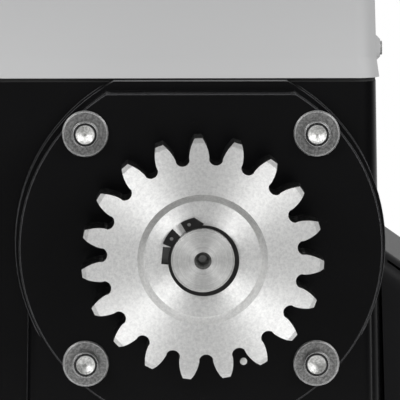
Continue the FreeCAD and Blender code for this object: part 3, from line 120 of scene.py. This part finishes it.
# ---- shader tools ------------------------------------------------------------------------
class Finish:
    """A procedural material under construction, around one Principled shader."""

    def __init__(self, name):
        self.material = bpy.data.materials.new(name)
        self.material.use_nodes = True
        self.tree = self.material.node_tree
        self.shader = self.tree.nodes["Principled BSDF"]
        self.place = self.node("ShaderNodeTexCoord").outputs["Object"]

    def node(self, kind, inputs=None, **settings):
        made = self.tree.nodes.new(kind)
        for key, value in settings.items():
            setattr(made, key, value)
        for key, value in (inputs or {}).items():
            self.feed(made.inputs[key], value)
        return made

    def feed(self, socket, value):
        if isinstance(value, bpy.types.NodeSocket):
            self.tree.links.new(value, socket)
        elif isinstance(value, tuple) and len(value) == 3 and socket.type == "RGBA":
            socket.default_value = (*value, 1.0)
        else:
            socket.default_value = value

    def set(self, **values):
        for key, value in values.items():
            self.feed(self.shader.inputs[key.replace("_", " ")], value)

    def noise(self, size, detail=3.0, roughness=0.55, place=None):
        """Noise whose blotches are about size metres across, from 0 to 1."""
        made = self.node(
            "ShaderNodeTexNoise",
            {"Vector": place or self.place, "Scale": 1.0 / size, "Detail": detail,
             "Roughness": roughness},
        )
        return made.outputs["Fac"]

    def ramp(self, value, low, high, to_low=0.0, to_high=1.0):
        made = self.node(
            "ShaderNodeMapRange",
            {"Value": value, "From Min": low, "From Max": high,
             "To Min": to_low, "To Max": to_high},
            clamp=True,
        )
        return made.outputs["Result"]

    def maths(self, operation, a, b=0.0):
        made = self.node("ShaderNodeMath", operation=operation)
        self.feed(made.inputs[0], a)
        self.feed(made.inputs[1], b)
        return made.outputs[0]

    def blend(self, factor, a, b):
        made = self.node("ShaderNodeMix", data_type="RGBA")
        self.feed(made.inputs["Factor"], factor)
        self.feed(made.inputs[6], a)
        self.feed(made.inputs[7], b)
        return made.outputs[2]

    def height(self):
        """Height of the surface above the underside of the base, in metres."""
        return self.node("ShaderNodeSeparateXYZ", {"Vector": self.place}).outputs["Z"]

    def bump(self, height, depth, strength=1.0, under=None):
        """Bump of the given depth in metres where height runs from 0 to 1."""
        inputs = {"Height": height, "Distance": depth, "Strength": strength}
        if under is not None:
            inputs["Normal"] = under
        return self.node("ShaderNodeBump", inputs).outputs["Normal"]

    def edges(self, radius):
        """1 on sharp outer edges and 0 on flat faces."""
        soft = self.node("ShaderNodeBevel", {"Radius": radius}, samples=4)
        sharp = self.node("ShaderNodeNewGeometry").outputs["Normal"]
        dot = self.node("ShaderNodeVectorMath", operation="DOT_PRODUCT")
        self.feed(dot.inputs[0], soft.outputs["Normal"])
        self.feed(dot.inputs[1], sharp)
        return self.ramp(dot.outputs["Value"], 0.995, 0.90)

    def facing(self, axis):
        """How squarely the surface faces along an axis of the piece, either way, 0 to 1."""
        turned = self.node("ShaderNodeTexCoord").outputs["Normal"]
        dot = self.node("ShaderNodeVectorMath", operation="DOT_PRODUCT")
        self.feed(dot.inputs[0], turned)
        dot.inputs[1].default_value = axis
        return self.maths("ABSOLUTE", dot.outputs["Value"])

    def radius_about(self, centre, axis):
        """Distance of the surface from the line through centre along axis, in metres."""
        offset = self.node("ShaderNodeVectorMath", operation="SUBTRACT")
        self.feed(offset.inputs[0], self.place)
        offset.inputs[1].default_value = centre
        cross = self.node("ShaderNodeVectorMath", operation="CROSS_PRODUCT")
        self.feed(cross.inputs[0], offset.outputs[0])
        cross.inputs[1].default_value = axis
        length = self.node("ShaderNodeVectorMath", operation="LENGTH")
        self.feed(length.inputs[0], cross.outputs[0])
        return length.outputs["Value"], cross.outputs[0]


FINISHES = {}


def finish(slot):
    """Registers a function that fills in the material of one of the record's slots."""
    def register(fill):
        made = Finish("finish_" + slot)
        fill(made)
        FINISHES[slot] = made.material
        return fill
    return register


# ---- materials ---------------------------------------------------------------------------
shaft_centre = corner_middle("output_shaft")


@finish("black_casting")
def black_casting(f):
    """Black gloss paint, with a painted highlight: a paler colour on outer edges that the cover
    leaves open.
    """
    peel = f.noise(0.0022, detail=2.0)
    cloud = f.noise(0.035, detail=4.0)
    in_view = f.ramp(f.height(), RIM_LINE - 0.002, RIM_LINE, 1.0, 0.0)
    # edge: sharp outer edges below the cover, which get a painted highlight, a paler colour
    edge = f.maths("MULTIPLY", f.edges(0.0005), in_view)
    paint = f.blend(cloud, (0.0016, 0.0016, 0.0018), (0.0032, 0.0032, 0.0035))
    f.set(
        Base_Color=f.blend(edge, paint, (0.12, 0.12, 0.125)),
        Roughness=f.ramp(cloud, 0.3, 0.7, 0.20, 0.27),
        Specular_IOR_Level=0.10,
        Normal=f.bump(peel, 0.00002, 0.5),
    )


@finish("cover_grey")
def cover_grey(f):
    """Satin grey moulding, whose walls curve gently out towards their lower edge."""
    grain = f.noise(0.0007, detail=2.0)
    cloud = f.noise(0.06, detail=3.0)
    height = f.height()
    above = f.maths("MAXIMUM", f.maths("SUBTRACT", COVER_CURVE_TOP, height), 0.0)
    curve = f.maths("MULTIPLY", f.maths("POWER", above, 3.0), COVER_CURVE)
    flare = f.maths("MAXIMUM", f.maths("SUBTRACT", COVER_LIP_TOP, height), 0.0)
    swell = f.maths("SUBTRACT", curve, f.maths("MULTIPLY", flare, COVER_LIP_SLOPE))
    f.set(
        Base_Color=f.blend(cloud, (0.385, 0.386, 0.389), (0.405, 0.406, 0.408)),
        Roughness=f.ramp(grain, 0.3, 0.7, 0.60, 0.68),
        Specular_IOR_Level=0.20,
        Normal=f.bump(grain, 0.00002, 0.6, under=f.bump(swell, 1.0)),
    )


@finish("black_plastic")
def black_plastic(f):
    grain = f.noise(0.0006, detail=2.0)
    f.set(
        Base_Color=f.blend(f.noise(0.03), (0.009, 0.009, 0.0095), (0.014, 0.014, 0.0145)),
        Roughness=f.ramp(grain, 0.3, 0.7, 0.34, 0.42),
        Specular_IOR_Level=0.03,
        Normal=f.bump(grain, 0.00004, 0.7),
    )


def turned_steel(f, bright, dark, rough, drawn, ringed):
    """Steel turned about the shaft's line: fine rings, which are a share of the mottle,
    and gloss drawn out across them. Faces that don't face along the shaft are rougher and
    pitted, and get a darker mottled colour, which is painted shade."""
    radius, round_way = f.radius_about(shaft_centre, (0.0, 1.0, 0.0))
    ring_place = f.node("ShaderNodeCombineXYZ", {"X": radius}).outputs[0]
    rings = f.noise(0.00045, detail=3.0, roughness=0.7, place=ring_place)
    speck = f.noise(0.0011, detail=4.0, roughness=0.75)
    shade = f.maths("ADD", f.maths("MULTIPLY", rings, ringed),
                    f.maths("MULTIPLY", speck, 1.0 - ringed))
    face = f.ramp(f.facing((0.0, 1.0, 0.0)), 0.35, 0.5)
    skin = f.blend(f.ramp(shade, 0.38, 0.62), bright[0], bright[1])
    pits = f.noise(0.0016, detail=5.0, roughness=0.8)
    # shaded_flank: painted shade, a darker mottled colour on faces that don't face along the
    # shaft
    shaded_flank = f.blend(f.ramp(pits, 0.50, 0.66), dark[0], dark[1])
    f.set(
        Metallic=1.0,
        Base_Color=f.blend(face, shaded_flank, skin),
        Roughness=f.ramp(face, 0.0, 1.0, FLANK_ROUGH, rough),
        Anisotropic=drawn,
        Tangent=round_way,
        Normal=f.bump(f.maths("ADD", shade, f.maths("MULTIPLY", pits, 2.0)), 0.00002, 0.4),
    )


@finish("gear_steel")
def gear_steel(f):
    turned_steel(f, bright=((0.70, 0.70, 0.695), (0.88, 0.88, 0.87)),
                 dark=((0.03, 0.03, 0.03), (0.42, 0.42, 0.41)),
                 rough=0.58, drawn=0.78, ringed=0.2)


@finish("shaft_steel")
def shaft_steel(f):
    turned_steel(f, bright=((0.44, 0.44, 0.435), (0.64, 0.64, 0.63)),
                 dark=((0.34, 0.34, 0.335), (0.46, 0.46, 0.45)),
                 rough=0.52, drawn=0.6, ringed=0.6)


@finish("zinc_steel")
def zinc_steel(f):
    """Plated washers and screws, mottled grey, with sharp edges painted near-white as
    highlights.
    Round the flange's four screws the head is darkened and its socket floor is painted bright
    as a highlight."""
    low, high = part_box("flange_washers")
    middle, reach = (low + high) / 2, (high - low) / 2
    parts = f.node("ShaderNodeSeparateXYZ", {"Vector": f.place}).outputs
    aside = [f.maths("SUBTRACT", f.maths("ABSOLUTE", f.maths("SUBTRACT", parts[axis], centre)),
                     far - WASHER_RADIUS)
             for axis, centre, far in (("X", middle.x, reach.x), ("Z", middle.z, reach.z))]
    offset = f.node("ShaderNodeCombineXYZ", {"X": aside[0], "Y": aside[1]}).outputs[0]
    radius = f.node("ShaderNodeVectorMath", {0: offset}, operation="LENGTH").outputs["Value"]
    # socket: the flange screws' socket floors, which get a painted highlight, a bright colour
    socket = f.ramp(radius, SOCKET_RADIUS, SOCKET_RADIUS + ZONE_BLUR, 1.0, 0.0)
    head = f.ramp(radius, HEAD_RADIUS, HEAD_RADIUS + ZONE_BLUR, 1.0, 0.0)
    speck = f.ramp(f.noise(0.0009, detail=4.0, roughness=0.75), 0.40, 0.62)
    # rim: sharp edges, painted near-white as highlights
    rim = f.edges(0.0005)
    plain = f.blend(speck, (0.14, 0.14, 0.14), (0.36, 0.36, 0.355))
    plain = f.blend(head, plain, (0.035, 0.035, 0.035))
    plain = f.blend(rim, plain, (0.95, 0.95, 0.95))
    socket_highlight = f.blend(speck, (0.55, 0.55, 0.54), (0.95, 0.95, 0.94))
    dull = f.ramp(f.maths("MAXIMUM", socket, rim), 0.0, 1.0, 0.36, 0.60)
    f.set(
        Metallic=1.0,
        Base_Color=f.blend(socket, plain, socket_highlight),
        Roughness=dull,
        Normal=f.bump(f.noise(0.0008), 0.00006, 0.8),
    )


@finish("black_steel")
def black_steel(f):
    cloud = f.noise(0.003, detail=4.0)
    f.set(
        Metallic=1.0,
        Base_Color=f.blend(cloud, (0.018, 0.018, 0.019), (0.045, 0.044, 0.043)),
        Roughness=f.ramp(cloud, 0.3, 0.7, 0.30, 0.45),
        Normal=f.bump(f.noise(0.0008), 0.00002, 0.5),
    )


@finish("chrome")
def chrome(f):
    haze = f.noise(0.01, detail=3.0)
    f.set(
        Metallic=1.0,
        Base_Color=f.blend(haze, (0.62, 0.62, 0.63), (0.72, 0.72, 0.73)),
        Roughness=f.ramp(haze, 0.3, 0.7, 0.08, 0.16),
    )


@finish("bronze")
def bronze(f):
    cloud = f.noise(0.006, detail=5.0)
    f.set(
        Metallic=1.0,
        Base_Color=f.blend(cloud, (0.50, 0.30, 0.11), (0.66, 0.44, 0.18)),
        Roughness=f.ramp(cloud, 0.3, 0.7, 0.28, 0.45),
        Normal=f.bump(f.noise(0.0008), 0.00002, 0.5),
    )


@finish("cast_iron")
def cast_iron(f):
    grain = f.noise(0.0012, detail=4.0, roughness=0.7)
    f.set(
        Metallic=1.0,
        Base_Color=f.blend(grain, (0.13, 0.13, 0.13), (0.24, 0.24, 0.235)),
        Roughness=f.ramp(grain, 0.3, 0.7, 0.45, 0.65),
        Normal=f.bump(grain, 0.00006, 0.7),
    )


@finish("aluminium")
def aluminium(f):
    grain = f.noise(0.0015, detail=4.0, roughness=0.7)
    f.set(
        Metallic=1.0,
        Base_Color=f.blend(grain, (0.50, 0.505, 0.51), (0.64, 0.645, 0.65)),
        Roughness=f.ramp(grain, 0.3, 0.7, 0.38, 0.55),
        Normal=f.bump(grain, 0.00005, 0.6),
    )


@finish("laminations")
def laminations(f):
    sheets = f.node(
        "ShaderNodeTexWave",
        {"Vector": f.place, "Scale": 1.0 / 0.0032, "Distortion": 0.3, "Detail": 1.0},
        wave_type="BANDS", bands_direction="Z",
    ).outputs["Fac"]
    rust = f.ramp(f.noise(0.012, detail=5.0), 0.45, 0.75)
    steel = f.blend(sheets, (0.10, 0.10, 0.105), (0.26, 0.26, 0.27))
    f.set(
        Metallic=0.85,
        Base_Color=f.blend(rust, steel, (0.20, 0.16, 0.13)),
        Roughness=0.42,
        Normal=f.bump(sheets, 0.00015, 0.8),
    )


@finish("copper")
def copper(f):
    wires = f.node(
        "ShaderNodeTexWave",
        {"Vector": f.place, "Scale": 1.0 / 0.0045, "Distortion": 1.6, "Detail": 2.0,
         "Detail Scale": 1.2},
        wave_type="RINGS", rings_direction="Z",
    ).outputs["Fac"]
    f.set(
        Metallic=0.9,
        Base_Color=f.blend(wires, (0.30, 0.09, 0.025), (0.66, 0.26, 0.09)),
        Roughness=0.30,
        Normal=f.bump(wires, 0.0003, 0.9),
    )


@finish("rubber")
def rubber(f):
    grain = f.noise(0.0009, detail=3.0)
    f.set(
        Base_Color=f.blend(grain, (0.012, 0.012, 0.012), (0.022, 0.022, 0.022)),
        Roughness=f.ramp(grain, 0.3, 0.7, 0.6, 0.75),
        Normal=f.bump(grain, 0.00004, 0.6),
    )


@finish("board")
def board(f):
    tracks = f.node(
        "ShaderNodeTexBrick",
        {"Vector": f.place, "Scale": 160.0, "Mortar Size": 0.035,
         "Color1": (0.016, 0.13, 0.045), "Color2": (0.022, 0.17, 0.06),
         "Mortar": (0.05, 0.26, 0.10)},
    ).outputs["Color"]
    f.set(
        Base_Color=f.blend(f.ramp(f.noise(0.02), 0.4, 0.6, 0.2, 0.9), (0.016, 0.13, 0.045),
                           tracks),
        Roughness=0.28,
        Normal=f.bump(f.noise(0.0015), 0.00002, 0.5),
    )


def moulded(f, dark, light, rough=0.42):
    """Plain moulded plastic with a fine sparked grain."""
    grain = f.noise(0.0006, detail=2.0)
    f.set(
        Base_Color=f.blend(f.noise(0.01), dark, light),
        Roughness=f.ramp(grain, 0.3, 0.7, rough - 0.05, rough + 0.07),
        Normal=f.bump(grain, 0.00002, 0.5),
    )


@finish("terminal_green")
def terminal_green(f):
    moulded(f, (0.03, 0.27, 0.07), (0.04, 0.33, 0.09))


@finish("white_plastic")
def white_plastic(f):
    moulded(f, (0.74, 0.74, 0.72), (0.80, 0.80, 0.78))


@finish("blue_plastic")
def blue_plastic(f):
    moulded(f, (0.03, 0.10, 0.36), (0.04, 0.13, 0.42))


@finish("fan_plastic")
def fan_plastic(f):
    moulded(f, (0.06, 0.06, 0.06), (0.09, 0.09, 0.09), rough=0.5)


@finish("display_glass")
def display_glass(f):
    haze = f.noise(0.01)
    f.set(
        Base_Color=f.blend(haze, (0.015, 0.008, 0.008), (0.03, 0.012, 0.012)),
        Roughness=f.ramp(haze, 0.3, 0.7, 0.05, 0.12),
        Coat_Weight=0.6,
        Coat_Roughness=0.04,
    )


def dress_cad():
    """Puts each slot's finish on the CAD nodes that carry it."""
    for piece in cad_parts.values():
        for place in piece.material_slots:
            slot = place.material.name.split(".")[0]
            if slot in FINISHES:
                place.material = FINISHES[slot]


# ---- pieces that only the looks need -------------------------------------------------------
def new_piece(name, mesh_maker, slot, body):
    """A piece whose mesh mesh_maker fills in, with the slot's finish, riding on a body."""
    mesh = bpy.data.meshes.new(name)
    shape = bmesh.new()
    mesh_maker(shape)
    shape.to_mesh(mesh)
    shape.free()
    piece = bpy.data.objects.new(name, mesh)
    bpy.context.scene.collection.objects.link(piece)
    piece.data.materials.append(FINISHES[slot])
    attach(piece, body)
    return piece


def make_flange_dot():
    """The domed white end of the pin in the flange, a shade lower than the plain pin."""
    low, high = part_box("flange_dowel")
    centre = Vector(((low.x + high.x) / 2, high.y, (low.z + high.z) / 2 - DOT_DROP))

    def dome(shape):
        profile = [Vector((DOT_RADIUS * math.sin(math.radians(a)), 0.0,
                           DOT_PROUD * math.cos(math.radians(a)))) for a in range(0, 91, 15)]
        profile.append(Vector((0.0, 0.0, 0.0)))
        points = [shape.verts.new(p) for p in profile]
        lines = [shape.edges.new(pair) for pair in zip(points, points[1:])]
        bmesh.ops.spin(shape, geom=points + lines, axis=(0.0, 0.0, 1.0), cent=(0.0, 0.0, 0.0),
                       angle=math.tau, steps=32)
        bmesh.ops.remove_doubles(shape, verts=shape.verts, dist=1e-6)
        bmesh.ops.recalc_face_normals(shape, faces=shape.faces)
        outward = Matrix.Translation(centre) @ Matrix.Rotation(math.pi / 2, 4, "X")
        bmesh.ops.transform(shape, matrix=outward, verts=shape.verts)
        for face in shape.faces:
            face.smooth = True

    dot = new_piece("flange_dot", dome, "white_plastic", "housing")
    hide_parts("flange_dowel")


def make_spring():
    """The clutch's coil spring, which the clutch pushes together as it is drawn out. Here it
    is one rigid coil that rides on the clutch.
    """
    low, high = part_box("clutch_spring")
    wire = SPRING_WIRE / 2
    coil_radius = (high.x - low.x) / 2 - wire
    axis = Vector((shaft_centre.x, 0.0, shaft_centre.z))

    def coil(shape):
        rings = []
        for step in range(SPRING_STEPS + 1):
            share = step / SPRING_STEPS
            turn = math.tau * SPRING_TURNS * share
            out = Vector((math.cos(turn), 0.0, math.sin(turn)))
            along = Vector((0.0, low.y + wire + share * (high.y - low.y - 2 * wire), 0.0))
            rings.append([
                shape.verts.new(axis + along + out * (coil_radius + wire * math.cos(side))
                                + Vector((0.0, wire * math.sin(side), 0.0)))
                for side in (math.tau * k / SPRING_SIDES for k in range(SPRING_SIDES))])
        for ring, following in zip(rings, rings[1:]):
            for k in range(SPRING_SIDES):
                after = (k + 1) % SPRING_SIDES
                side = shape.faces.new((ring[k], ring[after], following[after], following[k]))
                side.smooth = True
        shape.faces.new(rings[0])
        shape.faces.new(rings[-1])
        bmesh.ops.recalc_face_normals(shape, faces=shape.faces)

    spring = new_piece("clutch_coil", coil, "shaft_steel", "clutch")
    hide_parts("clutch_spring")
    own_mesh(spring)


# ---- stage ---------------------------------------------------------------------------------
def make_floor():
    """A pale round floor that takes the object's shadow and melts into the white."""
    mesh = bpy.data.meshes.new("floor")
    shape = bmesh.new()
    bmesh.ops.create_circle(shape, cap_ends=True, segments=96, radius=FLOOR_RADIUS)
    shape.to_mesh(mesh)
    shape.free()
    floor = bpy.data.objects.new("floor", mesh)
    floor.location.z = cad_low.z - 0.0002
    bpy.context.scene.collection.objects.link(floor)
    f = Finish("pale_floor")
    radius, _ = f.radius_about((0.0, 0.0, 0.0), (0.0, 0.0, 1.0))
    f.set(
        Base_Color=f.blend(f.noise(0.3), (0.86, 0.86, 0.86), (0.89, 0.89, 0.89)),
        Roughness=0.9,
        Specular_IOR_Level=0.1,
        Alpha=f.ramp(radius, FLOOR_FADE, FLOOR_RADIUS, 1.0, 0.0),
    )
    mesh.materials.append(f.material)


def make_world():
    """Even room light. Cameras, gloss and glass see the white backdrop instead, and
    gloss sees the room darken towards where the photographer stands."""
    world = bpy.data.worlds.new("studio")
    bpy.context.scene.world = world
    world.use_nodes = True
    tree = world.node_tree
    background = tree.nodes["Background"]

    def maths(operation, a, b):
        made = tree.nodes.new("ShaderNodeMath")
        made.operation = operation
        for socket, value in zip(made.inputs, (a, b)):
            if isinstance(value, bpy.types.NodeSocket):
                tree.links.new(value, socket)
            else:
                socket.default_value = value
        return made.outputs[0]

    def ramp(value, low, high, to_low, to_high):
        made = tree.nodes.new("ShaderNodeMapRange")
        tree.links.new(value, made.inputs["Value"])
        for key, number in (("From Min", low), ("From Max", high),
                            ("To Min", to_low), ("To Max", to_high)):
            made.inputs[key].default_value = number
        return made.outputs["Result"]

    path = tree.nodes.new("ShaderNodeLightPath").outputs
    seen = maths("MAXIMUM", maths("MAXIMUM", path["Is Camera Ray"], path["Is Glossy Ray"]),
                 path["Is Transmission Ray"])
    way = tree.nodes.new("ShaderNodeSeparateXYZ")
    tree.links.new(tree.nodes.new("ShaderNodeTexCoord").outputs["Generated"], way.inputs[0])
    front = ramp(way.outputs["Y"], -0.85, -0.35, ROOM_FRONT, ROOM_SIDE)
    back = ramp(way.outputs["Y"], 0.0, 0.6, 0.0, 1.0)
    backdrop = maths("MAXIMUM", maths("MAXIMUM", front, back), path["Is Camera Ray"])
    room = ramp(way.outputs["Z"], -1.0, 1.0, AMBIENT - AMBIENT_RISE, AMBIENT + AMBIENT_RISE)
    mix = tree.nodes.new("ShaderNodeMix")
    tree.links.new(seen, mix.inputs["Factor"])
    tree.links.new(room, mix.inputs["A"])
    tree.links.new(backdrop, mix.inputs["B"])
    tree.links.new(mix.outputs["Result"], background.inputs["Strength"])
    background.inputs["Color"].default_value = (1.0, 1.0, 1.0, 1.0)


def softbox(name, azimuth, elevation, distance, size, share):
    """A square lamp aimed at the pinion. Its share is the part of full white that it
    gives on a white card facing it there."""
    light = bpy.data.lights.new(name, "AREA")
    light.shape = "SQUARE"
    light.size = size
    light.energy = share * math.pi ** 2 * distance ** 2
    lamp = bpy.data.objects.new(name, light)
    bpy.context.scene.collection.objects.link(lamp)
    turn = Vector((math.sin(azimuth) * math.cos(elevation),
                   -math.cos(azimuth) * math.cos(elevation), math.sin(elevation)))
    target = corner_middle("pinion")
    lamp.location = target + turn * distance
    lamp.rotation_mode = "QUATERNION"
    lamp.rotation_quaternion = turn.to_track_quat("Z", "Y")
    lamp.visible_camera = False
    return lamp


def make_camera():
    azimuth, elevation = CAMERA_AZIMUTH, CAMERA_ELEVATION
    back = Vector((math.sin(azimuth) * math.cos(elevation),
                   -math.cos(azimuth) * math.cos(elevation), math.sin(elevation)))
    turn = back.to_track_quat("Z", "Y")
    right = turn @ Vector((1.0, 0.0, 0.0))
    up = turn @ Vector((0.0, 1.0, 0.0))
    face = corner_middle("output_shaft")
    face.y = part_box("pinion")[0].y
    data = bpy.data.cameras.new("camera")
    data.sensor_width = SENSOR
    data.lens = SENSOR * CAMERA_DISTANCE / (PIXEL_AT_PINION * PICTURE)
    data.clip_end = 50.0
    camera = bpy.data.objects.new("camera", data)
    bpy.context.scene.collection.objects.link(camera)
    camera.location = face + right * AIM_RIGHT + up * AIM_UP + back * CAMERA_DISTANCE
    camera.rotation_mode = "QUATERNION"
    camera.rotation_quaternion = turn
    bpy.context.scene.camera = camera


# ---- the scene -------------------------------------------------------------------------------
dress_cad()
make_flange_dot()
make_spring()
make_floor()
make_world()
softbox("lamp_left", -LAMP_AZIMUTH, LAMP_ELEVATION, LAMP_DISTANCE, LAMP_SIZE, LAMP_LEFT)
softbox("lamp_right", LAMP_AZIMUTH, LAMP_ELEVATION, LAMP_DISTANCE, LAMP_SIZE, LAMP_RIGHT)
make_camera()
bpy.context.scene.view_settings.view_transform = "Standard"
